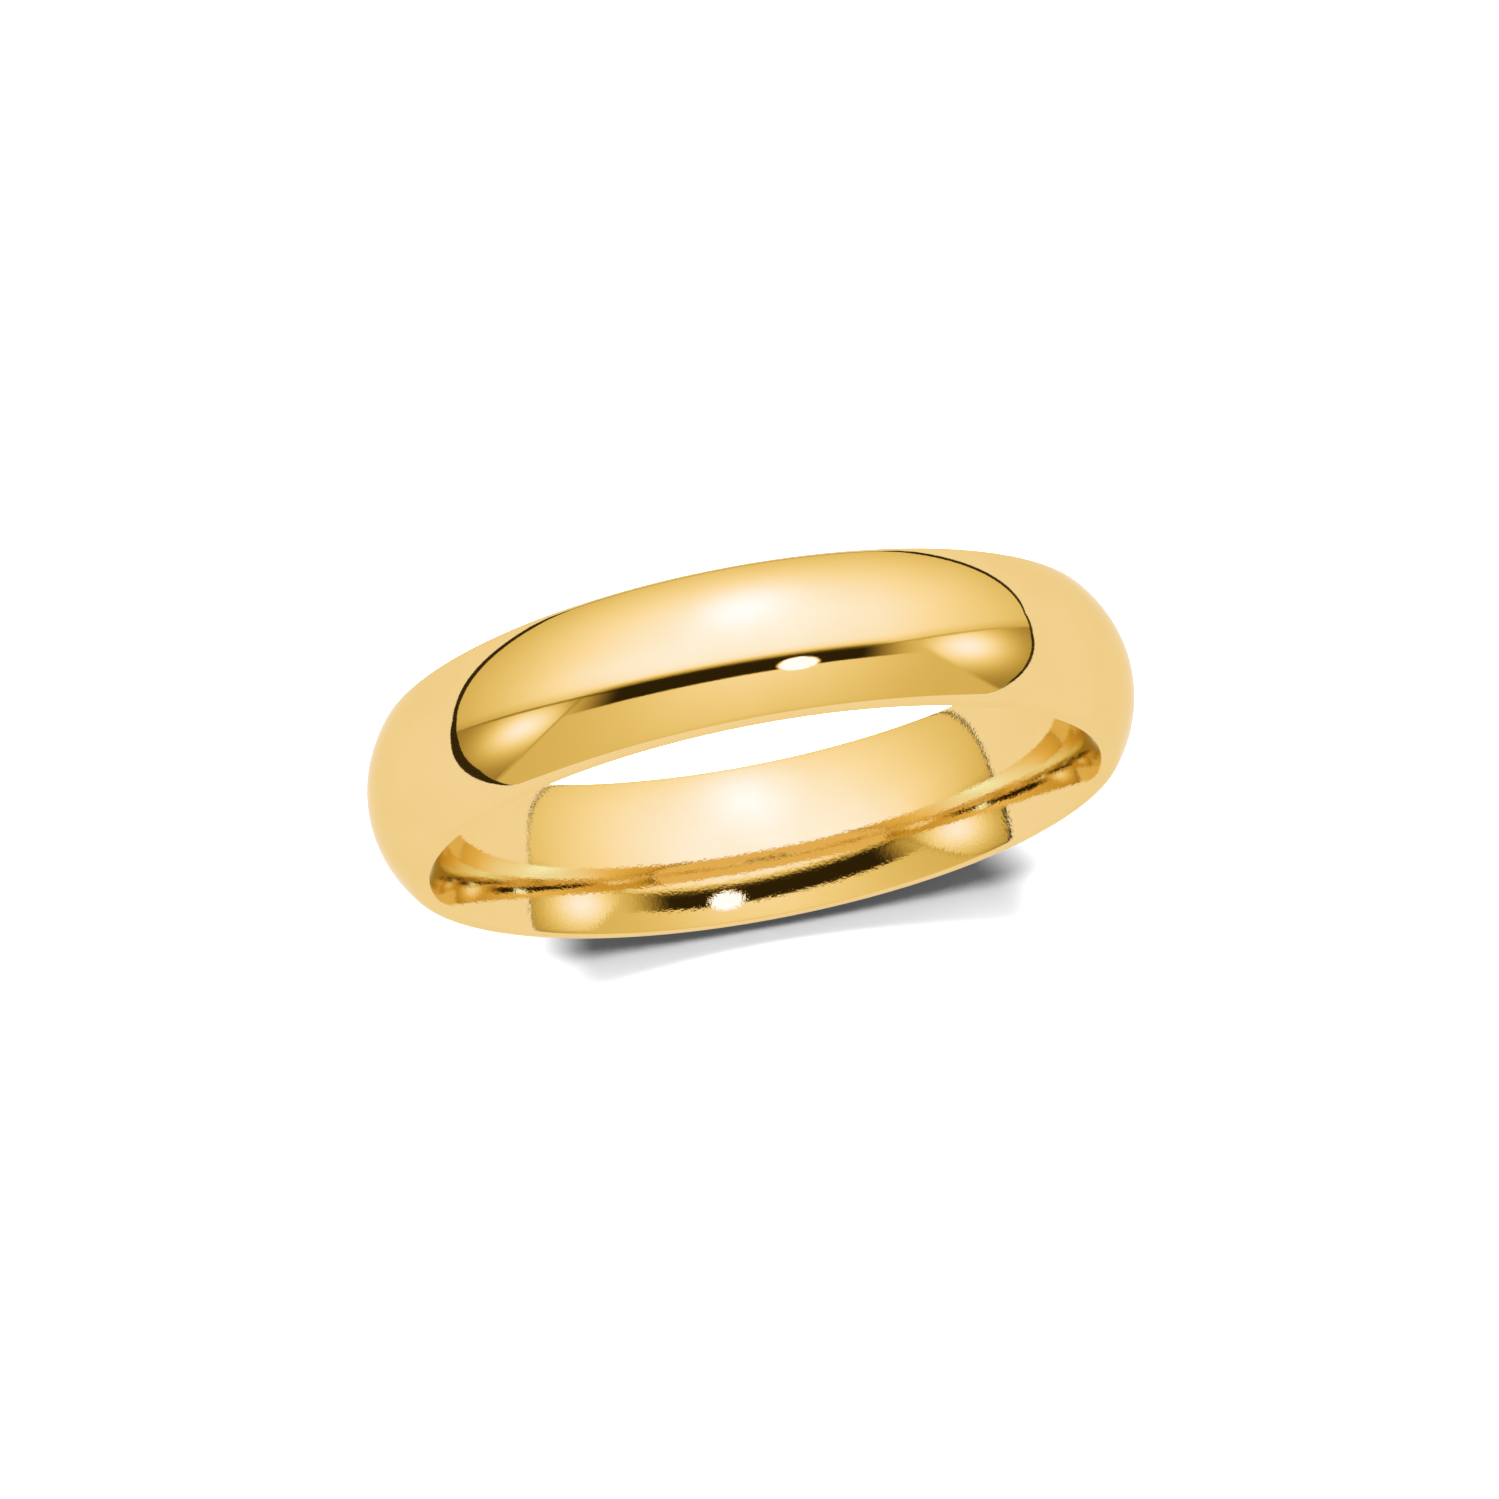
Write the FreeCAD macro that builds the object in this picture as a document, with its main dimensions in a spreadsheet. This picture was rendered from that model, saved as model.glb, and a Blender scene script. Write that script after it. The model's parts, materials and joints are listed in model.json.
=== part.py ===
import FreeCAD, Part
import os
import Sketcher

# A plain comfort-fit wedding band: one seamless ring of solid gold, domed outside and inside.
# It stands on its rim like a wheel. The finger hole runs along Y, +Z is up, and the origin is
# the centre of the finger hole. All sizes are in millimetres.

SIZES = (
    ("finger_diameter", 20.0, "hole at the crown of the comfort dome, the ring's finger size"),
    ("band_width", 5.0, "side face to side face, along the finger"),
    ("wall_thickness", 2.0, "crown of the comfort dome to crown of the outer dome"),
    ("side_thickness", 0.49, "side face between the two domes, before its edges are rounded"),
    ("comfort_rise", 0.54, "how far the inside curves away from the finger at a side face"),
    ("gauge_land", 0.2, "width of the straight line of bore that a ring gauge touches"),
    ("outer_round", 0.5, "rounding between the outer dome and a side face"),
    ("inner_round", 0.08, "rounding between the comfort dome and a side face"),
    ("mark_depth", 0.1, "depth of the blank hallmark punches under the comfort crown"),
    ("mark_across", 0.8, "height of one punch, along the finger"),
    ("mark_along", 0.6, "length of one punch, round the hole"),
    ("mark_pitch", 0.98, "middle of one punch to the middle of the next, round the hole"),
    ("mark_offset", 0.35, "middle of the row of punches, from the middle of the band"),
)
MARK_COUNT = 4
ROW_ANGLE = f"Sizes.mark_pitch * {MARK_COUNT - 1} * 360 / (pi * Sizes.finger_diameter)"

document = FreeCAD.newDocument("WeddingBand")


def write_sizes():
    """Put every driving size into the sheet under its own name."""
    sheet = document.addObject("Spreadsheet::Sheet", "Sizes")
    for row, (alias, value, meaning) in enumerate(SIZES, start=1):
        sheet.set(f"A{row}", meaning)
        sheet.set(f"B{row}", str(value))
        sheet.setAlias(f"B{row}", alias)
    document.recompute()


def origin_item(body, role):
    """One of the body's own origin planes or axes, such as YZ_Plane."""
    return next(item for item in body.Origin.OriginFeatures if item.Role == role)


def add_sketch(body, name, plane_role):
    """An empty sketch on one of the body's origin planes."""
    sketch = body.newObject("Sketcher::SketchObject", name)
    sketch.AttachmentSupport = [(origin_item(body, plane_role), "")]
    sketch.MapMode = "FlatFace"
    return sketch


def drawn_size(sketch, kind, references):
    """The size that the starting shape already has, so that adding a dimension moves nothing."""
    if kind == "Radius":
        return sketch.Geometry[references[0]].Radius
    step = sketch.getPoint(*references[2:]) - sketch.getPoint(*references[:2])
    return step.x if kind == "DistanceX" else step.y


def bind_size(sketch, kind, references, name, expression):
    """Add a named dimension to the sketch and drive it from the sheet."""
    drawn = drawn_size(sketch, kind, references)
    index = sketch.addConstraint(Sketcher.Constraint(kind, *references, drawn))
    sketch.renameConstraint(index, name)
    sketch.setExpression(f"Constraints.{name}", expression)


# ---- The section of the band -------------------------------------------------------------
# Sketch points: a line's or arc's start is 1 and its end is 2. The sketch's origin is point 1
# of geometry -1, its horizontal axis is -1 and its vertical axis is -2.
START, END = 1, 2
ORIGIN = (-1, 1)
VERTICAL_AXIS = -2


def arc_through(first, middle, last):
    """An arc from first to last by way of middle, for the sketch's starting shape."""
    return Part.Arc(*(FreeCAD.Vector(x, y, 0) for x, y in (first, middle, last)))


def line_between(first, last):
    """A straight edge for the sketch's starting shape."""
    return Part.LineSegment(FreeCAD.Vector(*first, 0), FreeCAD.Vector(*last, 0))


def draw_section(body):
    """The band cut across: gauge land, two comfort arcs, two side faces and the outer dome.

    The arcs are driven by how far they rise, not by their radii, so a wider or a thinner band
    keeps a side face of the stated thickness.
    """
    sheet = document.Sizes
    half_width = sheet.band_width / 2
    half_land = sheet.gauge_land / 2
    bore = sheet.finger_diameter / 2
    inner_corner = bore + sheet.comfort_rise
    outer_corner = inner_corner + sheet.side_thickness
    crown = bore + sheet.wall_thickness
    run = half_width - half_land
    comfort_radius = (run**2 + sheet.comfort_rise**2) / (2 * sheet.comfort_rise)
    halfway = half_land + run / 2
    halfway_rise = comfort_radius - (comfort_radius**2 - (run / 2) ** 2) ** 0.5

    sketch = add_sketch(body, "BandSection", "YZ_Plane")
    land = sketch.addGeometry(line_between((-half_land, bore), (half_land, bore)))
    comfort_right = sketch.addGeometry(
        arc_through((half_land, bore), (halfway, bore + halfway_rise), (half_width, inner_corner))
    )
    side_right = sketch.addGeometry(
        line_between((half_width, inner_corner), (half_width, outer_corner))
    )
    outer_dome = sketch.addGeometry(
        arc_through((half_width, outer_corner), (0, crown), (-half_width, outer_corner))
    )
    side_left = sketch.addGeometry(
        line_between((-half_width, outer_corner), (-half_width, inner_corner))
    )
    comfort_left = sketch.addGeometry(
        arc_through((-half_width, inner_corner), (-halfway, bore + halfway_rise), (-half_land, bore))
    )

    join_section(sketch, land, comfort_right, side_right, outer_dome, side_left, comfort_left)
    bind_size(sketch, "DistanceX", (land, START, land, END), "land", "Sizes.gauge_land")
    bind_size(sketch, "DistanceY", (*ORIGIN, land, START), "bore", "Sizes.finger_diameter / 2")
    bind_size(sketch, "DistanceX", (*ORIGIN, side_right, START), "half_width", "Sizes.band_width / 2")
    bind_size(sketch, "DistanceY", (land, START, side_right, START), "rise", "Sizes.comfort_rise")
    bind_size(sketch, "DistanceY", (side_right, START, side_right, END), "side", "Sizes.side_thickness")
    bind_dome(sketch, outer_dome)
    document.recompute()
    return sketch


def arc_end_at(sketch, arc, line, line_point):
    """Which end of the arc lies on the given end of the line."""
    place = sketch.getPoint(line, line_point)
    return min((START, END), key=lambda end: sketch.getPoint(arc, end).distanceToPoint(place))


def join_section(sketch, land, comfort_right, side_right, outer_dome, side_left, comfort_left):
    """Close the outline, make it symmetric and let the comfort arcs leave the land smoothly."""
    joints = (
        (comfort_right, side_right, START),
        (outer_dome, side_right, END),
        (outer_dome, side_left, START),
        (comfort_left, side_left, END),
    )
    for arc, line, line_point in joints:
        ends = (arc, arc_end_at(sketch, arc, line, line_point), line, line_point)
        sketch.addConstraint(Sketcher.Constraint("Coincident", *ends))
    for arc, land_point in ((comfort_right, END), (comfort_left, START)):
        ends = (arc, arc_end_at(sketch, arc, land, land_point), land, land_point)
        sketch.addConstraint(Sketcher.Constraint("Tangent", *ends))
    sketch.addConstraint(Sketcher.Constraint("Vertical", side_right))
    mirrored = (
        (land, START, land, END),
        (side_left, START, side_right, END),
        (side_left, END, side_right, START),
    )
    for pair in mirrored:
        sketch.addConstraint(Sketcher.Constraint("Symmetric", *pair, VERTICAL_AXIS))


def bind_dome(sketch, outer_dome):
    """The outer dome's radius, from the half width and from its rise over a side face."""
    rise = "(Sizes.wall_thickness - Sizes.comfort_rise - Sizes.side_thickness)"
    half = "(Sizes.band_width / 2)"
    radius = f"({half} * {half} + {rise} * {rise}) / (2 * {rise})"
    bind_size(sketch, "Radius", (outer_dome,), "dome", radius)


# ---- The turned ring ---------------------------------------------------------------------


def revolve_section(body, sketch):
    """Turn the section once round the finger's axis."""
    ring = body.newObject("PartDesign::Revolution", "TurnedRing")
    ring.Profile = sketch
    ring.ReferenceAxis = (sketch, ["H_Axis"])
    ring.Angle = 360
    sketch.Visibility = False
    document.recompute()
    return ring


def rim_edges(feature, outer):
    """The names of the two circles where a dome meets the side faces."""
    half_width = document.Sizes.band_width / 2
    rims = {}
    for number, edge in enumerate(feature.Shape.Edges, start=1):
        on_side = isinstance(edge.Curve, Part.Circle) and abs(
            abs(edge.Curve.Center.y) - half_width
        ) < 1e-6
        if on_side:
            rims[f"Edge{number}"] = edge.Curve.Radius
    middle = (min(rims.values()) + max(rims.values())) / 2
    return [name for name, radius in rims.items() if (radius > middle) == outer]


def round_rims(body, base, name, outer, size):
    """Round one pair of rims by the named size."""
    rounding = body.newObject("PartDesign::Fillet", name)
    rounding.Base = (base, rim_edges(base, outer))
    rounding.setExpression("Radius", f"Sizes.{size}")
    document.recompute()
    return rounding


# ---- The blank hallmark punches ----------------------------------------------------------


def draw_punch(body):
    """The outline of the first punch, on a plane through the axis tilted to face it."""
    sketch = add_sketch(body, "PunchOutline", "XY_Plane")
    sketch.AttachmentOffset = FreeCAD.Placement(
        FreeCAD.Vector(0, 0, 0), FreeCAD.Rotation(FreeCAD.Vector(0, 1, 0), 1.0)
    )
    sketch.setExpression("AttachmentOffset.Rotation.Angle", f"-({ROW_ANGLE}) / 2")
    corners = ((-1, -1), (1, -1), (1, 1), (-1, 1))
    sides = [
        sketch.addGeometry(line_between(corners[i], corners[(i + 1) % 4])) for i in range(4)
    ]
    for i in range(4):
        joint = (sides[i], END, sides[(i + 1) % 4], START)
        sketch.addConstraint(Sketcher.Constraint("Coincident", *joint))
    bottom, right, top, left = sides
    sketch.addConstraint(Sketcher.Constraint("Horizontal", top))
    for side in (right, left):
        sketch.addConstraint(Sketcher.Constraint("Vertical", side))
    sketch.addConstraint(Sketcher.Constraint("Symmetric", bottom, START, bottom, END, VERTICAL_AXIS))
    bind_size(sketch, "DistanceX", (bottom, START, bottom, END), "along", "Sizes.mark_along")
    bind_size(sketch, "DistanceY", (right, START, right, END), "across", "Sizes.mark_across")
    low_side = "Sizes.mark_offset - Sizes.mark_across / 2"
    bind_size(sketch, "DistanceY", (*ORIGIN, bottom, START), "low_side", low_side)
    document.recompute()
    return sketch


def sink_punches(body, ring):
    """Sink one blank punch from the axis outwards, then repeat it round the finger's axis."""
    outline = draw_punch(body)
    punch = body.newObject("PartDesign::Pocket", "Punch")
    punch.Profile = outline
    punch.Reversed = True
    punch.setExpression("Length", "Sizes.finger_diameter / 2 + Sizes.mark_depth")
    outline.Visibility = False
    document.recompute()
    one_punch = ring.Shape.Volume - punch.Shape.Volume

    row = body.newObject("PartDesign::PolarPattern", "PunchRow")
    row.Originals = [punch]
    row.Axis = (origin_item(body, "Y_Axis"), [""])
    row.Occurrences = MARK_COUNT
    row.setExpression("Angle", ROW_ANGLE)
    body.Tip = row
    document.recompute()
    all_punches = ring.Shape.Volume - row.Shape.Volume
    if one_punch <= 0 or abs(all_punches - MARK_COUNT * one_punch) > 0.02 * all_punches:
        raise RuntimeError("the punches did not all cut the band")
    print(f"punches: {MARK_COUNT} of {one_punch:.4f} cubic mm")


# ---- The band ----------------------------------------------------------------------------


def make_band():
    """The whole ring as one body."""
    body = document.addObject("PartDesign::Body", "Band")
    body.Label = "band"
    body.Placement = FreeCAD.Placement()
    ring = revolve_section(body, draw_section(body))
    rounded = round_rims(body, ring, "OuterRounding", True, "outer_round")
    rounded = round_rims(body, rounded, "InnerRounding", False, "inner_round")
    sink_punches(body, rounded)
    return body


def check_document(bodies):
    """Stop if any object failed to build or any body is not one valid closed solid."""
    for item in document.Objects:
        if "Invalid" in item.State or "Error" in item.State:
            raise RuntimeError(f"{item.Label} failed: {item.State}")
    for body in bodies:
        if body.Shape.isNull() or not body.Shape.isValid() or len(body.Shape.Solids) != 1:
            raise RuntimeError(f"{body.Label} is not one valid solid")


def export_bodies(bodies):
    """Write each body to a STEP file named after it."""
    os.makedirs("parts", exist_ok=True)
    for body in bodies:
        body.Shape.exportStep(f"parts/{body.Label}.step")
        box = body.Shape.optimalBoundingBox()
        size = f"{box.XLength:.3f} x {box.YLength:.3f} x {box.ZLength:.3f} mm"
        print(f"{body.Label}: {size}, {body.Shape.Volume:.2f} cubic mm")


write_sizes()
finished = [make_band()]
document.recompute()
check_document(finished)
export_bodies(finished)
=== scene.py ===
# %% [markdown]
# # A comfort-fit wedding band
# The real thing is one seamless ring of solid yellow gold. It is domed outside, domed the other
# way inside so that it slides over a knuckle, and polished until it mirrors the room. Almost
# everything the eye reads on it is a reflection. So this lesson has three parts: the exact
# shape, a gold that is not quite a perfect mirror, and a studio that is worth reflecting.
#
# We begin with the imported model. It is the frame that the visible ring has to fit.

# %% Load the frame
import json
import math

import bpy
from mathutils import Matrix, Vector


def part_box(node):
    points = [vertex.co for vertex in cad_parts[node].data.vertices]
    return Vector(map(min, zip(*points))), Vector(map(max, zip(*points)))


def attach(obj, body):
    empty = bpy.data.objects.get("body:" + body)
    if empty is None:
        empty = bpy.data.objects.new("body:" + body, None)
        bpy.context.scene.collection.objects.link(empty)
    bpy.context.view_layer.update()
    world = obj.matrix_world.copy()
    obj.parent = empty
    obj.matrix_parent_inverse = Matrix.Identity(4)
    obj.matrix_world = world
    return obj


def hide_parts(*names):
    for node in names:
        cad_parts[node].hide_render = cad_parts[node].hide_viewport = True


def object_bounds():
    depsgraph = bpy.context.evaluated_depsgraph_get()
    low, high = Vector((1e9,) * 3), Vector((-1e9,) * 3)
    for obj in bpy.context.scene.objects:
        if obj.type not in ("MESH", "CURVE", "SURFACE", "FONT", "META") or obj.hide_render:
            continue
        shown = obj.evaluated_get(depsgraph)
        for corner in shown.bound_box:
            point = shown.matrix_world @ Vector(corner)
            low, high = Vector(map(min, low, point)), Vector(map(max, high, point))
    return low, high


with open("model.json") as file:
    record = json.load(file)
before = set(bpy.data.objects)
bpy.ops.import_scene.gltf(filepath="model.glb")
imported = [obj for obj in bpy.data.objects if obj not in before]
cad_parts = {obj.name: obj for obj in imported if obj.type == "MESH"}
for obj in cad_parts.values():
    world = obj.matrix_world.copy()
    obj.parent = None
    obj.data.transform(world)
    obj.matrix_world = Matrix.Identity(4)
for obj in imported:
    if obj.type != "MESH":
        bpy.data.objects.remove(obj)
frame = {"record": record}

MM = 0.001
cad_low, cad_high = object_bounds()
print("CAD box in mm:", [round((b - a) / MM, 3) for a, b in zip(cad_low, cad_high)])

# %% [markdown]
# ## Measures of the band
# A goldsmith would describe this ring with five numbers: the finger size, the width, the wall,
# how far each dome rises, and how its edges are broken. The first three are read back from the
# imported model, so the visible ring can't drift from the designed one. The hole is stated there
# as a ring gauge would meet it, with the short straight land in its middle.

# %% Read the band's measures
mounts = {mount["name"]: mount for mount in frame["record"]["mounts"]}
band_low, band_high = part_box("band")
hole_radius = mounts["finger_hole"]["dims"]["r_mm"] * MM
gauge_land = mounts["finger_hole"]["dims"]["length_mm"] * MM
half_width = (band_high[1] - band_low[1]) / 2
crown_radius = (band_high[0] - band_low[0]) / 2

comfort_rise = 0.54 * MM
side_thickness = 0.49 * MM
outer_round = 0.5 * MM
inner_round = 0.08 * MM
print(f"hole radius {hole_radius / MM:.2f} mm, crown radius {crown_radius / MM:.2f} mm")
print(f"half width {half_width / MM:.2f} mm")

# %% [markdown]
# ## The section of the band
# Cut a real band across and you see two arcs that face away from each other, joined by narrow
# flat sides with softened corners. Blender could turn a hand-drawn curve with a Screw modifier,
# but a polished ring shows the smallest bump in its section as a kink in every reflection. So
# the section is worked out from circles, and each corner is a circle that touches both of its
# neighbours. Half of it is enough, because the two sides of a plain band are alike.

# %% Work out the arcs
outer_rise = crown_radius - hole_radius - comfort_rise - side_thickness
outer_dome = (half_width**2 + outer_rise**2) / (2 * outer_rise)
comfort_run = half_width - gauge_land / 2
comfort_dome = (comfort_run**2 + comfort_rise**2) / (2 * comfort_rise)


def arc(centre, radius, first, last, steps):
    """Points (radius from the finger's axis, place along it) on an arc, first and last included."""
    turns = [first + (last - first) * i / steps for i in range(steps + 1)]
    return [(centre[0] + radius * math.cos(t), centre[1] + radius * math.sin(t)) for t in turns]


def corner_circle(dome_centre, dome_radius, round_radius):
    """The circle that touches a dome from inside and the side face, and where it leaves the dome."""
    along = half_width - round_radius
    reach = dome_radius - round_radius
    out = math.sqrt(reach**2 - (along - dome_centre[1]) ** 2)
    return out, along


outer_centre = (crown_radius - outer_dome, 0.0)
out, along = corner_circle(outer_centre, outer_dome, outer_round)
outer_corner = (outer_centre[0] + out, along)
outer_leave = math.atan2(along, out)

comfort_centre = (hole_radius + comfort_dome, gauge_land / 2)
out, along = corner_circle(comfort_centre, comfort_dome, inner_round)
inner_corner = (comfort_centre[0] - out, along)
inner_leave = math.pi - math.atan2(along - comfort_centre[1], out)
print(f"outer dome radius {outer_dome / MM:.2f} mm, comfort dome radius {comfort_dome / MM:.2f} mm")

# %% [markdown]
# ## Four blank punches inside
# A gold band carries its hallmark inside the top of the ring, where it doesn't show on a hand.
# Here the punches are left blank: four small rectangles, pressed a tenth of a millimetre deep.
# A bump in the material would do from far away, but a press mark is a real dent with walls, so
# it is made in the mesh. For that the grid of faces needs lines close together just where the
# walls stand, in both directions.

# %% Describe the punches
punch_depth = 0.1 * MM
punch_half_along = 0.3 * MM
punch_half_across = 0.4 * MM
punch_pitch = 0.98 * MM
punch_offset = 0.35 * MM
punch_wall = 0.035 * MM
punch_corner = 0.09 * MM
PUNCHES = 4
punch_turns = [(i - (PUNCHES - 1) / 2) * punch_pitch / hole_radius for i in range(PUNCHES)]


def smooth(value):
    """Ease from 0 to 1 with no corner at either end."""
    value = min(max(value, 0.0), 1.0)
    return value * value * (3 - 2 * value)


def punched(turn, out, along):
    """The radius of an inside point after the punches, from its turn, radius and place along."""
    for centre in punch_turns:
        lean = turn - centre
        across = abs(along - punch_offset) - punch_half_across + punch_corner
        round_way = abs(lean) * hole_radius - punch_half_along + punch_corner
        beyond = math.hypot(max(across, 0.0), max(round_way, 0.0))
        distance = beyond + min(max(across, round_way), 0.0) - punch_corner
        if distance < 0:
            floor = (hole_radius + punch_depth) / math.cos(lean)
            return out + (floor - out) * smooth(-distance / punch_wall)
    return out


def lines_near(edges, reach, steps):
    """Evenly spaced lines on both sides of each edge."""
    return [edge + reach * (2 * i / steps - 1) for edge in edges for i in range(steps + 1)]


row_reach = 0.14 * MM
punch_sides = [punch_offset - punch_half_across, punch_offset + punch_half_across]
punch_rows = lines_near(punch_sides, row_reach, 10)
print("punch rows in mm:", [round(row / MM, 3) for row in punch_rows[:4]], "...")

# %% [markdown]
# ## The whole outline as stations
# Each station is a point of the section that is swept once round the finger. Domes get even
# steps. The inside also gets the rows for the punches, moved on to the comfort dome. Walking the
# outline in one direction keeps all faces turned outwards.

# %% Lay out the stations
DOME_STEPS, CORNER_STEPS, FINE_CORNER_STEPS = 26, 10, 5
closest_rows = 0.03 * MM


def comfort_point(along):
    """A point of the inside surface, given its place along the finger."""
    beyond = max(abs(along) - gauge_land / 2, 0.0)
    out = comfort_centre[0] - math.sqrt(comfort_dome**2 - beyond**2)
    return out, along


def inside_rows():
    """Places along the finger for the inside surface, from one side's rounding to the other's."""
    last = comfort_centre[1] + comfort_dome * math.sin(math.pi - inner_leave)
    even = [last * (i / DOME_STEPS) for i in range(-DOME_STEPS, DOME_STEPS + 1)]
    spaced = [row for row in even if all(abs(row - near) > closest_rows for near in punch_rows)]
    return sorted(spaced + punch_rows)


def half_outline():
    """From the comfort dome's end at +Y, round the side, to just before the outer crown."""
    points = arc(inner_corner, inner_round, inner_leave, math.pi / 2, FINE_CORNER_STEPS)[1:]
    points += arc(outer_corner, outer_round, math.pi / 2, outer_leave, CORNER_STEPS)
    points += arc(outer_centre, outer_dome, outer_leave, 0.0, DOME_STEPS)[1:-1]
    return points


def outline():
    """The closed outline: inside, +Y side, outer dome, and back along the -Y side."""
    side = half_outline()
    mirrored = [(out, -along) for out, along in reversed(side)]
    inside = [comfort_point(row) for row in inside_rows()]
    return inside + side + [(crown_radius, 0.0)] + mirrored, len(inside)


stations, inside_count = outline()
print(len(stations), "stations,", inside_count, "of them inside")

# %% [markdown]
# ## Sweep the band
# The sweep makes one ring of vertices for each direction round the finger and joins neighbours
# with four-sided faces. Even steps of three quarters of a degree keep the outline round, and
# closer steps across the punches give their walls something to stand on. Smooth shading then
# blends the small flat faces into one surface.

# %% Build the band's mesh
EVEN_TURNS = 480
turn_reach = 0.11 * MM / hole_radius


def turns_round():
    """The directions round the finger, from the top, with more of them at the punches."""
    edges = [c + way * punch_half_along / hole_radius for c in punch_turns for way in (-1, 1)]
    close = lines_near(edges, turn_reach, 8)
    step = 2 * math.pi / EVEN_TURNS
    even = [step * i - math.pi for i in range(EVEN_TURNS)]
    spaced = [turn for turn in even if all(abs(turn - near) > step / 6 for near in close)]
    return sorted(spaced + close)


def sweep_band():
    """Make the band's mesh object."""
    turns = turns_round()
    vertices = []
    for turn in turns:
        for number, (out, along) in enumerate(stations):
            radius = punched(turn, out, along) if number < inside_count else out
            vertices.append((radius * math.sin(turn), along, radius * math.cos(turn)))
    count = len(stations)
    faces = []
    for i in range(len(turns)):
        here, there = i * count, (i + 1) % len(turns) * count
        for j in range(count):
            k = (j + 1) % count
            faces.append((here + j, here + k, there + k, there + j))
    mesh = bpy.data.meshes.new("wedding_band")
    mesh.from_pydata(vertices, [], faces)
    mesh.validate()
    mesh.shade_smooth()
    band = bpy.data.objects.new("wedding_band", mesh)
    bpy.context.scene.collection.objects.link(band)
    return band


band = sweep_band()
print("band:", len(band.data.vertices), "vertices,", len(band.data.polygons), "faces")

# %% [markdown]
# ## Helpers for node trees
# Materials and the studio's light are both written as node trees. A few small helpers keep that
# readable. One adds a node and fills its inputs, with values or with links from other nodes.
# The others do arithmetic and mixing with it.

# %% Node helpers
def add_node(tree, kind, inputs=(), **settings):
    """Add a node, set its options, and fill its inputs with values or with other sockets."""
    node = tree.nodes.new(kind)
    for name, value in settings.items():
        setattr(node, name, value)
    for key, value in dict(inputs).items():
        if isinstance(value, bpy.types.NodeSocket):
            tree.links.new(value, node.inputs[key])
        else:
            node.inputs[key].default_value = value
    return node


def work_out(tree, operation, *values):
    """One Math node. Values are numbers or sockets."""
    return add_node(tree, "ShaderNodeMath", enumerate(values), operation=operation).outputs[0]


def long_side(tree, a, b):
    """The long side of a right-angled triangle with the short sides a and b."""
    a_squared = work_out(tree, "MULTIPLY", a, a)
    b_squared = work_out(tree, "MULTIPLY", b, b)
    return work_out(tree, "SQRT", work_out(tree, "ADD", a_squared, b_squared))


def ease(tree, value, low, high, at_low=0.0, at_high=1.0):
    """Go smoothly from at_low to at_high while value goes from low to high."""
    inputs = {"Value": value, "From Min": low, "From Max": high, "To Min": at_low, "To Max": at_high}
    return add_node(tree, "ShaderNodeMapRange", inputs, interpolation_type="SMOOTHSTEP").outputs[0]


def mix_numbers(tree, share, first, second):
    """The first number where share is 0, the second where it is 1."""
    return add_node(tree, "ShaderNodeMix", {0: share, 2: first, 3: second}).outputs[0]


def mix_colours(tree, share, first, second):
    """The first colour where share is 0, the second where it is 1."""
    inputs = {0: share, 6: first, 7: second}
    return add_node(tree, "ShaderNodeMix", inputs, data_type="RGBA").outputs[2]


print("node helpers ready")

# %% [markdown]
# ## Where a point lies
# One roughness number all over would make the ring look like a liquid, because a real one isn't
# finished alike everywhere. The outside gets the finest mop. The inside gets a felt cone, which
# is coarser. No mop reaches the floor of a punch, so it stays matt, and the gold there is painted
# darker as shade in the dent. One way is three materials on three sets of faces. Instead each
# zone is read from the point's own place on the ring, because then the finish can also change
# softly from one zone to the next.

# %% Tell the zones apart
side_middle = (inner_corner[0] + outer_corner[0]) / 2
zone_edge = 0.05 * MM
floor_from, floor_to = 0.05 * MM, 0.08 * MM
row_end, row_start = 0.9 * MM, 0.8 * MM


def zones(tree):
    """Sockets for a point's place, its direction round the ring, and the zone it lies in."""
    place = add_node(tree, "ShaderNodeTexCoord").outputs["Object"]
    x, along, z = add_node(tree, "ShaderNodeSeparateXYZ", {0: place}).outputs
    out = long_side(tree, x, z)
    turned = {0: work_out(tree, "DIVIDE", x, out), 1: along, 2: work_out(tree, "DIVIDE", z, out)}
    swirl = add_node(tree, "ShaderNodeCombineXYZ", turned).outputs[0]
    inside = ease(tree, out, side_middle + zone_edge, side_middle - zone_edge)
    near_middle = ease(tree, work_out(tree, "ABSOLUTE", along), row_end, row_start)
    sunk = ease(tree, out, hole_radius + floor_from, hole_radius + floor_to)
    low_inside = work_out(tree, "MULTIPLY", work_out(tree, "MULTIPLY", sunk, near_middle), inside)
    return place, swirl, inside, low_inside


print(f"inside starts at radius {side_middle / MM:.2f} mm")

# %% [markdown]
# ## Fine marks
# Up close, polished gold has three kinds of marks: long fine lines round the ring from the mop
# and from handling, a grain of about a tenth of a millimetre, and patches where the polish is
# a touch hazier. Noise makes all of them. Scaled evenly it gives grain and patches. Scaled
# far more along the finger than round it, it gives lines.

# %% Make the marks
def noise(tree, place, scale, detail=2.0, roughness=0.5):
    """Noise with features about 1 / scale metres across."""
    inputs = {"Vector": place, "Scale": scale, "Detail": detail, "Roughness": roughness}
    return add_node(tree, "ShaderNodeTexNoise", inputs).outputs["Fac"]


def stretched(tree, vector, round_scale, along_scale):
    """Scale a swirl vector so that noise on it runs in long lines round the ring."""
    inputs = {0: vector, 1: (round_scale, along_scale, round_scale)}
    return add_node(tree, "ShaderNodeVectorMath", inputs, operation="MULTIPLY").outputs[0]


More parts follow.
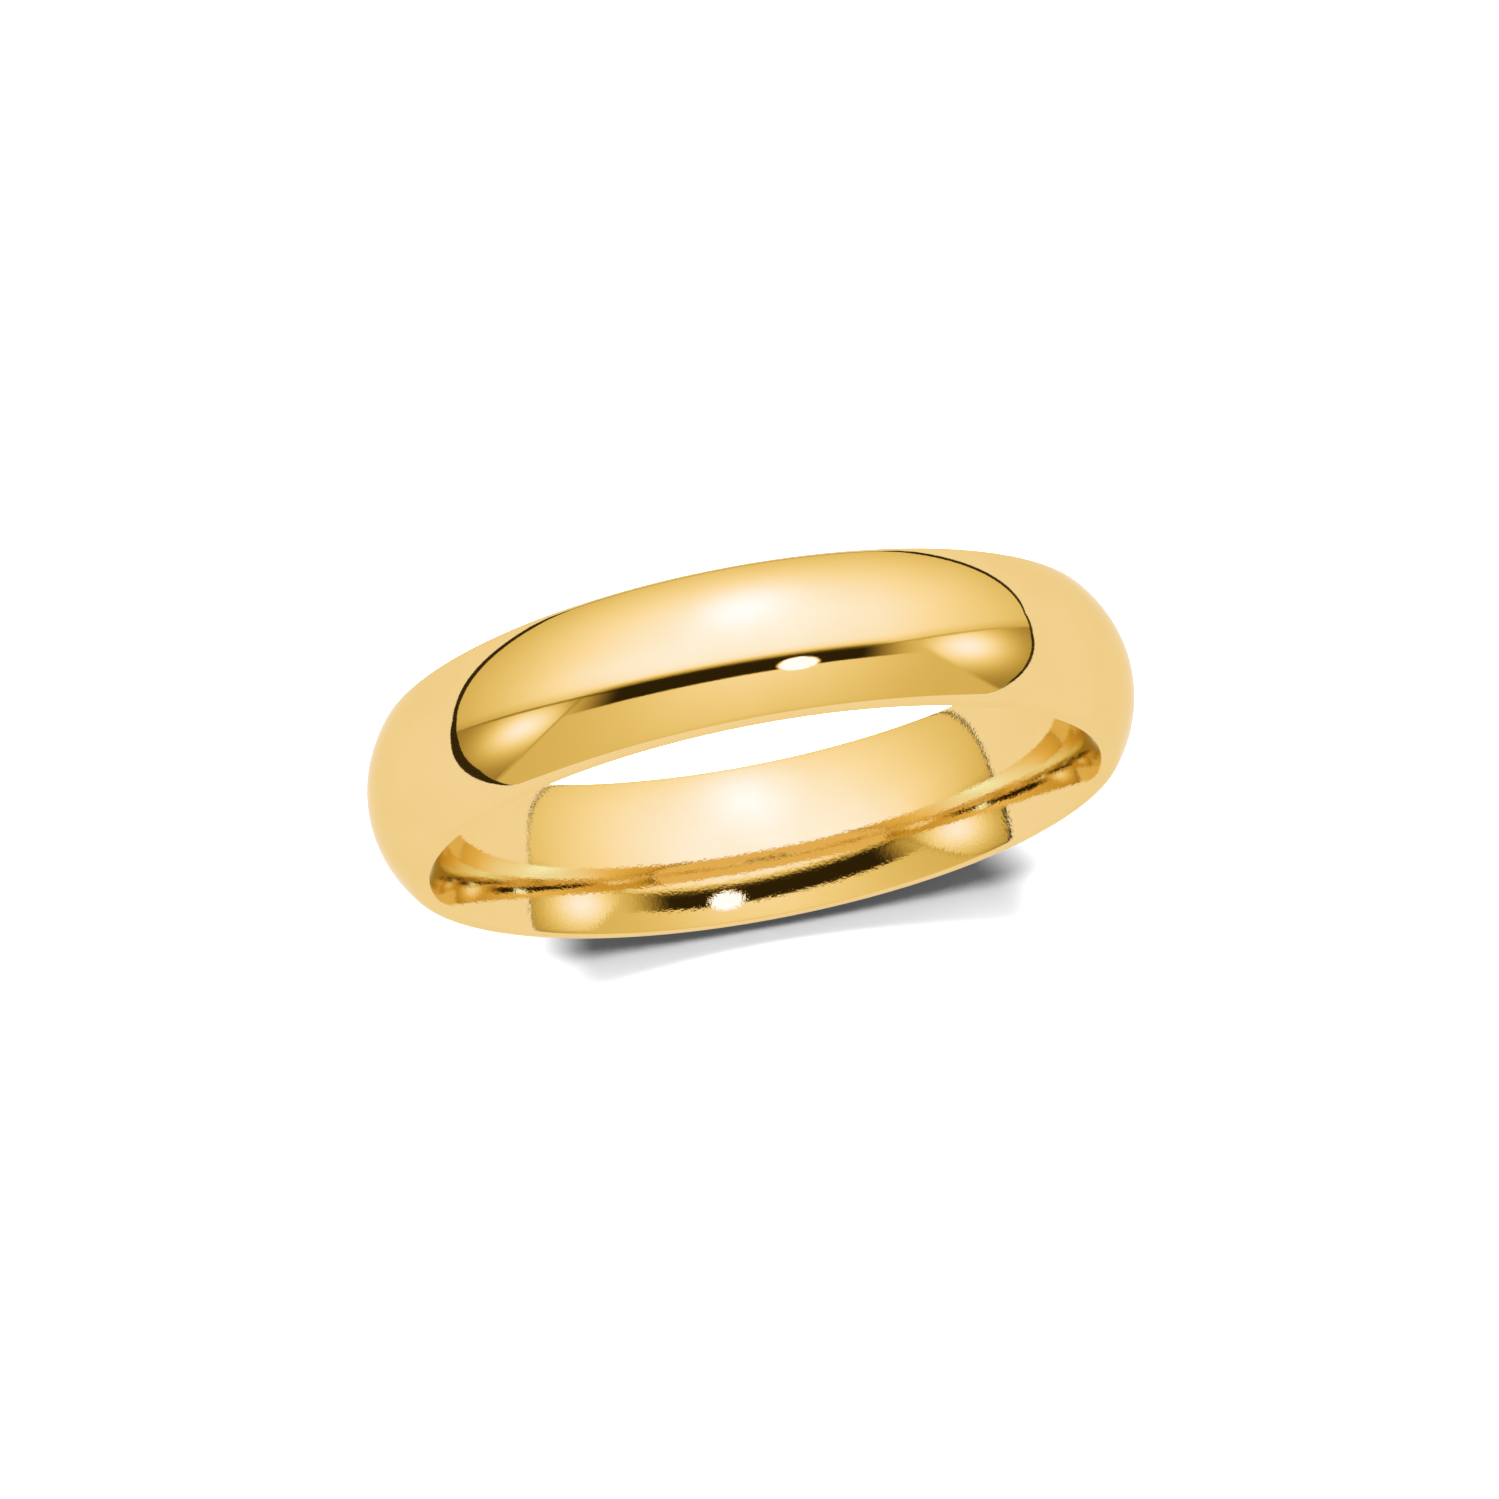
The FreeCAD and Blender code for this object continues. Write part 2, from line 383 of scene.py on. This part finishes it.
def fine_bumps(tree, place, swirl, inside):
    """A bump of about a micrometre: hairlines all over, and grain mostly inside."""
    hairlines = noise(tree, stretched(tree, swirl, 60.0, 26000.0), 1.0, 2.0, 0.5)
    grain = noise(tree, place, 9000.0, 2.0, 0.6)
    grain_height = work_out(tree, "MULTIPLY", grain, ease(tree, inside, 0.0, 1.0, 0.06, 1.0))
    height = work_out(tree, "ADD", work_out(tree, "MULTIPLY", hairlines, 0.08), grain_height)
    inputs = {"Strength": 1.0, "Distance": 0.002 * MM, "Height": height}
    return add_node(tree, "ShaderNodeBump", inputs).outputs[0]


def polish(tree, place, swirl, inside, low_inside):
    """Roughness: hazy patches outside, mop lines inside, and matt punch floors."""
    haze = noise(tree, place, 900.0, 4.0, 0.6)
    mop_lines = noise(tree, stretched(tree, swirl, 14.0, 9000.0), 1.0, 4.0, 0.6)
    outside_finish = ease(tree, haze, 0.35, 0.75, 0.018, 0.045)
    inside_finish = ease(tree, mop_lines, 0.3, 0.75, 0.014, 0.034)
    polished = mix_numbers(tree, inside, outside_finish, inside_finish)
    return mix_numbers(tree, low_inside, polished, 0.4)


print("marks ready")

# %% [markdown]
# ## Polished gold
# Yellow gold keeps red light, loses some green and most of the blue, and it is a metal, so its
# colour tints what it mirrors. At a grazing angle it turns paler, as every metal does.
#
# Deep in the corners of the hole, light bounces from gold to gold many times. Each bounce tints
# it again, and the renderer gives up after a few, which leaves black spots. So the gold gets
# paler for light that has already bounced twice, and after five bounces it simply glows as the
# room would.

# %% Mix the gold
GOLD = (0.85, 0.648, 0.28, 1.0)
DEEP_GOLD = (0.835, 0.628, 0.258, 1.0)
GRAZING_GOLD = (0.92, 0.85, 0.62, 1.0)
LATE_GOLD = (0.9, 0.84, 0.65, 1.0)
# The punch floors get a dark colour: painted shade in the dents, not the gold's own colour.
PUNCH_SHADE_GOLD = (0.36, 0.22, 0.07, 1.0)
TRAPPED_LIGHT = (0.72, 0.78, 1.0, 1.0)


def gold_colour(tree, place, low_inside, bounces):
    """The tint of the gold, with slow changes of tone over the surface."""
    cloud = noise(tree, place, 420.0, 3.0)
    tone = mix_colours(tree, ease(tree, cloud, 0.35, 0.75), GOLD, DEEP_GOLD)
    later = mix_colours(tree, ease(tree, bounces, 1.0, 2.0), tone, LATE_GOLD)
    # Painted shade: the sunk punch floors take the dark colour.
    return mix_colours(tree, low_inside, later, PUNCH_SHADE_GOLD)


def polished_gold():
    """The one material of the band."""
    material = bpy.data.materials.new("polished_gold")
    material.use_nodes = True
    tree = material.node_tree
    tree.nodes.clear()
    place, swirl, inside, low_inside = zones(tree)
    bounces = add_node(tree, "ShaderNodeLightPath").outputs["Glossy Depth"]
    inputs = {
        "Base Color": gold_colour(tree, place, low_inside, bounces),
        "Metallic": 1.0,
        "Roughness": polish(tree, place, swirl, inside, low_inside),
        "Normal": fine_bumps(tree, place, swirl, inside),
        "Specular Tint": GRAZING_GOLD,
    }
    shader = add_node(tree, "ShaderNodeBsdfPrincipled", inputs)
    trapped = add_node(tree, "ShaderNodeEmission", {"Color": TRAPPED_LIGHT})
    given_up = ease(tree, bounces, 4.0, 5.0)
    sides = {0: given_up, 1: shader.outputs[0], 2: trapped.outputs[0]}
    mixed = add_node(tree, "ShaderNodeMixShader", sides)
    add_node(tree, "ShaderNodeOutputMaterial", {"Surface": mixed.outputs[0]})
    return material


gold = polished_gold()
band.data.materials.append(gold)
print("material:", gold.name, "with", len(gold.node_tree.nodes), "nodes")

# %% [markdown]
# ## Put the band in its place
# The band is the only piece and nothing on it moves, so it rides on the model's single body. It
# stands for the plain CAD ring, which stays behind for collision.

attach(band, "root")
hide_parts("band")
print("pieces:", band.name)

# %% [markdown]
# ## The camera
# Jewellers show a band from high up and a little to one side, through a long lens, so that both
# the outer dome and the inside show and nothing is stretched. The camera looks down at about
# 73 degrees, from sixty centimetres away, and points a tenth of a millimetre below the middle.

# %% Set up the camera
view_azimuth = math.radians(-10.6)
view_elevation = math.radians(73.3)
camera_distance = 594.7 * MM
aim_left, aim_down = 0.048 * MM, 0.115 * MM
to_camera = Vector((
    math.sin(view_azimuth) * math.cos(view_elevation),
    -math.cos(view_azimuth) * math.cos(view_elevation),
    math.sin(view_elevation),
))
camera_right = Vector((math.cos(view_azimuth), math.sin(view_azimuth), 0.0))
camera_up = to_camera.cross(camera_right)

lens = bpy.data.cameras.new("ring_camera")
lens.lens = 463.0
lens.sensor_width = 36.0
camera = bpy.data.objects.new("ring_camera", lens)
camera.location = to_camera * camera_distance - camera_right * aim_left - camera_up * aim_down
camera.rotation_mode = "QUATERNION"
camera.rotation_quaternion = (-to_camera).to_track_quat("-Z", "Y")
bpy.context.scene.collection.objects.link(camera)
bpy.context.scene.camera = camera
print("camera at", [round(c, 4) for c in camera.location])

# %% [markdown]
# ## A studio worth reflecting
# A mirror has no look of its own, so the light tent does most of the work. The ring stands on a
# white table. Over it hangs a large softbox, brightest in the middle. Between that softbox and
# a lower card is a dark slot to look through. A small round lamp shines through the same slot,
# and two lamps glow on the sides. All of it could be built from glowing planes, but a tent far
# larger than the ring is the same from every point of it, so it is painted on the sky by
# direction instead.
#
# Directions are measured as through a fisheye lens: degrees to the right of and above the line
# of sight through the slot. That line is fixed in the room. It doesn't follow the camera.

# %% Directions in the tent
world = bpy.data.worlds.new("light_tent")
bpy.context.scene.world = world
world.use_nodes = True
world.cycles.sampling_method = "NONE"
sky = world.node_tree
sky.nodes.clear()


def tent_directions(tree):
    """Degrees right and up from the line of sight, as through a fisheye lens."""
    heading = add_node(tree, "ShaderNodeTexCoord").outputs["Generated"]

    def along_axis(axis):
        inputs = {0: heading, 1: tuple(axis)}
        return add_node(tree, "ShaderNodeVectorMath", inputs, operation="DOT_PRODUCT").outputs["Value"]

    right, up, back = (along_axis(axis) for axis in (camera_right, camera_up, to_camera))
    spread = long_side(tree, right, up)
    degrees = work_out(tree, "MULTIPLY", work_out(tree, "ARCTAN2", spread, back), 180 / math.pi)
    scale = work_out(tree, "DIVIDE", degrees, work_out(tree, "MAXIMUM", spread, 1e-6))
    return work_out(tree, "MULTIPLY", right, scale), work_out(tree, "MULTIPLY", up, scale)


tent_x, tent_y = tent_directions(sky)


def distance_from(tree, x, y, stretch_x=1.0, stretch_y=1.0):
    """Degrees from a point of the tent, with each direction shortened by its stretch."""
    dx = work_out(tree, "DIVIDE", work_out(tree, "SUBTRACT", tent_x, x), stretch_x)
    dy = work_out(tree, "DIVIDE", work_out(tree, "SUBTRACT", tent_y, y), stretch_y)
    return long_side(tree, dx, dy)


def glow(tree, x, y, reach_x, reach_y, strength):
    """A soft round glow: strength times exp of minus the squared distance."""
    far = distance_from(tree, x, y, reach_x, reach_y)
    minus_squared = work_out(tree, "MULTIPLY", work_out(tree, "MULTIPLY", far, far), -1.0)
    fall = work_out(tree, "EXPONENT", minus_squared)
    return work_out(tree, "MULTIPLY", fall, strength)


def over(tree, below, above, cover):
    """Lay one brightness over another where cover is 1."""
    return mix_numbers(tree, cover, below, above)


def line_height(tree, points):
    """The height of a bent line of (x, y) corners at tent_x."""
    low, high = points[0][0], points[-1][0]
    bottom = min(y for _, y in points)
    top = max(y for _, y in points)
    share = work_out(tree, "DIVIDE", work_out(tree, "SUBTRACT", tent_x, low), high - low)
    curve = add_node(tree, "ShaderNodeFloatCurve", {"Value": share})
    knots = curve.mapping.curves[0].points
    while len(knots) < len(points):
        knots.new(0.5, 0.5)
    for knot, (x, y) in zip(knots, points):
        knot.location = ((x - low) / (high - low), (y - bottom) / (top - bottom))
        knot.handle_type = "VECTOR"
    curve.mapping.update()
    return work_out(tree, "ADD", work_out(tree, "MULTIPLY", curve.outputs[0], top - bottom), bottom)


print("tent directions ready")

# %% [markdown]
# ## Painting the tent
# Each thing in the tent is one layer of brightness, laid over the one before: the side panels,
# the lower card, the softbox with its glow, the seam between them, the slot to look through,
# and last the round lamp. First come the lights, each as a function.

# %% Describe the lights
SEAM_LINE = ((-110, -0.5), (-36, 0.0), (45, 11.5), (95, 34))
seam = line_height(sky, SEAM_LINE)
above_seam = work_out(sky, "SUBTRACT", tent_y, seam)


def softbox(tree):
    """The ceiling: a wide even glow with a bright middle above and behind the ring."""
    wide = work_out(tree, "ADD", glow(tree, 2.0, 37.0, 116.0, 104.0, 1.26), 0.08)
    low_left = glow(tree, -46.0, 15.0, 30.0, 18.0, 0.12)
    middle = glow(tree, -6.0, 60.0, 15.0, 22.0, 0.25)
    whole = work_out(tree, "ADD", work_out(tree, "ADD", wide, low_left), middle)
    return work_out(tree, "MULTIPLY", whole, ease(tree, above_seam, 0.0, 10.0, 0.82, 1.0))


def side_panels(tree):
    """Dim cloth at both sides, each with a lamp behind it."""
    left = glow(tree, -65.0, -15.0, 17.0, 21.0, 1.04)
    right = glow(tree, 70.0, 8.0, 18.0, 23.0, 1.06)
    return work_out(tree, "ADD", work_out(tree, "ADD", left, right), 0.26)


def front_card(tree):
    """The lower card, lit most along its top edge."""
    return work_out(tree, "ADD", glow(tree, 5.0, 35.0, 40.0, 91.0, 0.52), 0.63)


print("lights ready")

# %% [markdown]
# ## Edges, seam and slot
# The edges matter as much as the lights, because they become the lines on the ring. None of
# them is level. The card's sides lean, the seam is bent where two cloths meet, and the slot
# rises to the right. An edge is a soft step on a slanted distance, and its softness is what
# makes it look like cloth, card or a hole.

# %% Lay the layers over each other
CARD_EDGE_LEVEL, SLOT_LEVEL, LAMP_LEVEL = 0.5, 0.02, 1.55
LAMP_AT, LAMP_RIM = (18.0, -0.5), (6.7, 5.2)


def leaning(tree, lean):
    """Degrees right of the line of sight, measured from an upright that leans."""
    return work_out(tree, "ADD", tent_x, work_out(tree, "MULTIPLY", tent_y, lean))


def rising(tree, rise):
    """Degrees up from the line of sight, measured from a level that rises to the right."""
    return work_out(tree, "SUBTRACT", tent_y, work_out(tree, "MULTIPLY", tent_x, rise))


def between(tree, value, low, high, soft):
    """1 between two soft edges."""
    rise = ease(tree, value, low - soft, low + soft)
    fall = ease(tree, value, high + soft, high - soft)
    return work_out(tree, "MULTIPLY", rise, fall)


card_left = leaning(sky, -0.3)
card_right = leaning(sky, 0.55)
right_of_edge = ease(sky, card_left, -48.5, -45.0)
left_of_edge = ease(sky, card_right, 62.0, 58.0)
on_card = work_out(sky, "MULTIPLY", right_of_edge, left_of_edge)
level = over(sky, side_panels(sky), front_card(sky), on_card)
level = over(sky, level, CARD_EDGE_LEVEL, between(sky, card_left, -48.0, -46.6, 0.6))
level = over(sky, level, softbox(sky), ease(sky, above_seam, -0.8, 0.8))
seam_level = ease(sky, tent_x, -40.0, 60.0, 0.30, 0.58)
level = over(sky, level, seam_level, between(sky, above_seam, -1.0, 1.0, 0.7))

below_top = ease(sky, rising(sky, 0.12), 10.6, 3.9)
above_bottom = ease(sky, rising(sky, 0.15), -6.9, -5.3)
slot_height = work_out(sky, "MULTIPLY", below_top, above_bottom)
slot = work_out(sky, "MULTIPLY", slot_height, between(sky, tent_x, -44.5, 46.5, 10.5))
level = over(sky, level, SLOT_LEVEL, slot)
level = over(sky, level, LAMP_LEVEL, ease(sky, distance_from(sky, *LAMP_AT), *LAMP_RIM))
print("tent has", len(sky.nodes), "nodes")

# %% [markdown]
# ## Warm shade, cool light
# The lamps are cooler than the light that bounces about the tent, so bright places lean to blue
# and dim ones to amber. On gold that makes the highlights white and the shades deep. A color
# ramp could turn brightness into that colour, but it would need many stops. Two short curves do
# it with a few numbers. The brightness itself is the green part. In the shade red leads green
# and blue trails it. Towards full light both come close to green, and beyond full light red
# hardly rises while blue climbs steeply.

# %% Choose the colours of the light
FULL_LIGHT = 1.1
RED_LEAD, RED_BEND, RED_BEYOND = 1.5, 0.42, 0.15
BLUE_SHARE, BLUE_BEND, BLUE_BEYOND = 0.3, 0.61, 4.8
BLUE_POWER = 3.0


def light_colour(tree, brightness):
    """Turn a brightness into a colour of light."""
    shade = work_out(tree, "MINIMUM", brightness, FULL_LIGHT)
    beyond = work_out(tree, "SUBTRACT", brightness, shade)
    red_share = work_out(tree, "MULTIPLY_ADD", shade, -RED_BEND, RED_LEAD)
    red = work_out(tree, "MULTIPLY", shade, red_share)
    red = work_out(tree, "MULTIPLY_ADD", beyond, RED_BEYOND, red)
    bend = work_out(tree, "POWER", shade, BLUE_POWER)
    blue_share = work_out(tree, "MULTIPLY_ADD", bend, BLUE_BEND, BLUE_SHARE)
    blue = work_out(tree, "MULTIPLY", shade, blue_share)
    blue = work_out(tree, "MULTIPLY_ADD", beyond, BLUE_BEYOND, blue)
    parts = {"Red": red, "Green": brightness, "Blue": blue}
    return add_node(tree, "ShaderNodeCombineColor", parts).outputs[0]


print("full light at", FULL_LIGHT)

# %% [markdown]
# ## Who sees the tent
# The matt table should see plain white light, so only mirror rays get the painted tent, and only
# if they haven't met the table on their way. Otherwise gold would throw bright patches into the
# shadow under it. Lamps seen after a second bounce are made brighter, because a real lamp is far
# brighter than any colour on a screen and still looks white then.

# %% Colour the tent
ROOM_FILL = 0.22
SECOND_LOOK = 0.9


def only_mirrors(tree):
    """1 for rays that met only mirrors on their way, 0 once they have met the matt table."""
    matt_bounces = add_node(tree, "ShaderNodeLightPath").outputs["Diffuse Depth"]
    return ease(tree, matt_bounces, 0.0, 1.0, 1.0, 0.0)


ray = add_node(sky, "ShaderNodeLightPath")
twice = ease(sky, ray.outputs["Glossy Depth"], 1.0, 2.0, 0.0, SECOND_LOOK)
over_white = work_out(sky, "MAXIMUM", work_out(sky, "SUBTRACT", level, 1.0), 0.0)
level = work_out(sky, "ADD", level, work_out(sky, "MULTIPLY", over_white, twice))
tent_inputs = {"Color": light_colour(sky, level), "Strength": only_mirrors(sky)}
tent = add_node(sky, "ShaderNodeBackground", tent_inputs)
fill_or_white = ease(sky, ray.outputs["Is Camera Ray"], 0.0, 1.0, ROOM_FILL, 1.0)
plain_inputs = {"Color": (1.0, 1.0, 1.0, 1.0), "Strength": fill_or_white}
plain = add_node(sky, "ShaderNodeBackground", plain_inputs)
sides = {0: ray.outputs["Is Glossy Ray"], 1: plain.outputs[0], 2: tent.outputs[0]}
seen = add_node(sky, "ShaderNodeMixShader", sides)
add_node(sky, "ShaderNodeOutputWorld", {"Surface": seen.outputs[0]})
print("tent coloured")

# %% [markdown]
# ## What the ring sees below
# Below the ring lies a white sheet with a dark gap round it, and the gap's thin dark line is
# what gives a polished ring its crisp outline. The sheet is near, so each part of the ring sees
# its edge in another direction. The sky can't do that, so these two are real faces. They are
# shown to mirror rays only, because the camera and the soft shadow need the plain table, and
# the table is hidden from mirror rays in turn. The corners are in millimetres, to the right of
# the ring and behind it.

# %% Lay the sheet and the dark gap
def mirrored_card(name, corners, height, colour):
    """A glowing flat card that only mirror rays see."""
    mesh = bpy.data.meshes.new(name)
    points = [(x * MM, y * MM, height) for x, y in corners]
    mesh.from_pydata(points, [], [tuple(range(len(corners)))])
    card = bpy.data.objects.new(name, mesh)
    bpy.context.scene.collection.objects.link(card)
    card.visible_camera = False
    card.visible_diffuse = False
    card.visible_shadow = False
    material = bpy.data.materials.new(name)
    material.use_nodes = True
    tree = material.node_tree
    tree.nodes.clear()
    inputs = {"Color": (*colour, 1.0), "Strength": only_mirrors(tree)}
    glowing = add_node(tree, "ShaderNodeEmission", inputs)
    add_node(tree, "ShaderNodeOutputMaterial", {"Surface": glowing.outputs[0]})
    mesh.materials.append(material)
    return card


sheet_drop, gap_drop = 8.0 * MM, 0.5 * MM
SHEET_COLOUR = (1.055, 0.995, 1.02)
GAP_COLOUR = (0.04, 0.027, 0.008)
sheet_corners = (
    (-185, -600), (393, -600), (393, 40), (290, 100),
    (-130, 74), (-170, 62), (-185, 30),
)
gap_corners = (
    (-370, -120), (560, -290), (560, 52), (360, 118),
    (-147, 96), (-240, 78), (-320, 32),
)
sheet_height = cad_low[2] - sheet_drop
mirrored_card("white_sheet", sheet_corners, sheet_height, SHEET_COLOUR)
mirrored_card("dark_gap", gap_corners, sheet_height - gap_drop, GAP_COLOUR)
print("sheet at", round(sheet_height / MM, 1), "mm")

# %% [markdown]
# ## The white table and its soft shadow
# The ring stands on its rim on a matt white table, under a wide softbox above and behind it. The
# shadow stays under the ring, dark where it nearly touches and gone a few millimetres away. A
# sun lamp with a very wide disc gives that shadow and lights the whole table evenly. It is so
# strong that the table turns pure white as soon as about a sixth of the disc is in sight.

# %% Lay the table
TABLE_WHITE = (0.9, 0.9, 0.9, 1.0)
SUN_DISC = math.radians(60.0)
SUN_ENERGY = 20.0
TOWARDS_SUN = (-0.075, 0.2, 0.5)


def white_table():
    """A wide matt table that just touches the ring."""
    half = 1.6
    mesh = bpy.data.meshes.new("white_table")
    corners = [(-half, -half), (half, -half), (half, half), (-half, half)]
    mesh.from_pydata([(x, y, cad_low[2]) for x, y in corners], [], [(0, 1, 2, 3)])
    table = bpy.data.objects.new("white_table", mesh)
    bpy.context.scene.collection.objects.link(table)
    table.visible_glossy = False
    material = bpy.data.materials.new("matt_white")
    material.use_nodes = True
    shader = material.node_tree.nodes["Principled BSDF"]
    shader.inputs["Base Color"].default_value = TABLE_WHITE
    shader.inputs["Roughness"].default_value = 1.0
    shader.inputs["Specular IOR Level"].default_value = 0.0
    mesh.materials.append(material)
    return table


def overhead_light():
    """A wide soft light from above and behind that only matt surfaces see."""
    light = bpy.data.lights.new("overhead_light", "SUN")
    light.angle = SUN_DISC
    light.energy = SUN_ENERGY
    lamp = bpy.data.objects.new("overhead_light", light)
    lamp.location = TOWARDS_SUN
    lamp.rotation_mode = "QUATERNION"
    lamp.rotation_quaternion = lamp.location.to_track_quat("Z", "Y")
    lamp.visible_glossy = False
    bpy.context.scene.collection.objects.link(lamp)
    return lamp


table = white_table()
overhead_light()
bpy.context.scene.view_settings.view_transform = "Standard"
print("table at", round(cad_low[2] / MM, 2), "mm")
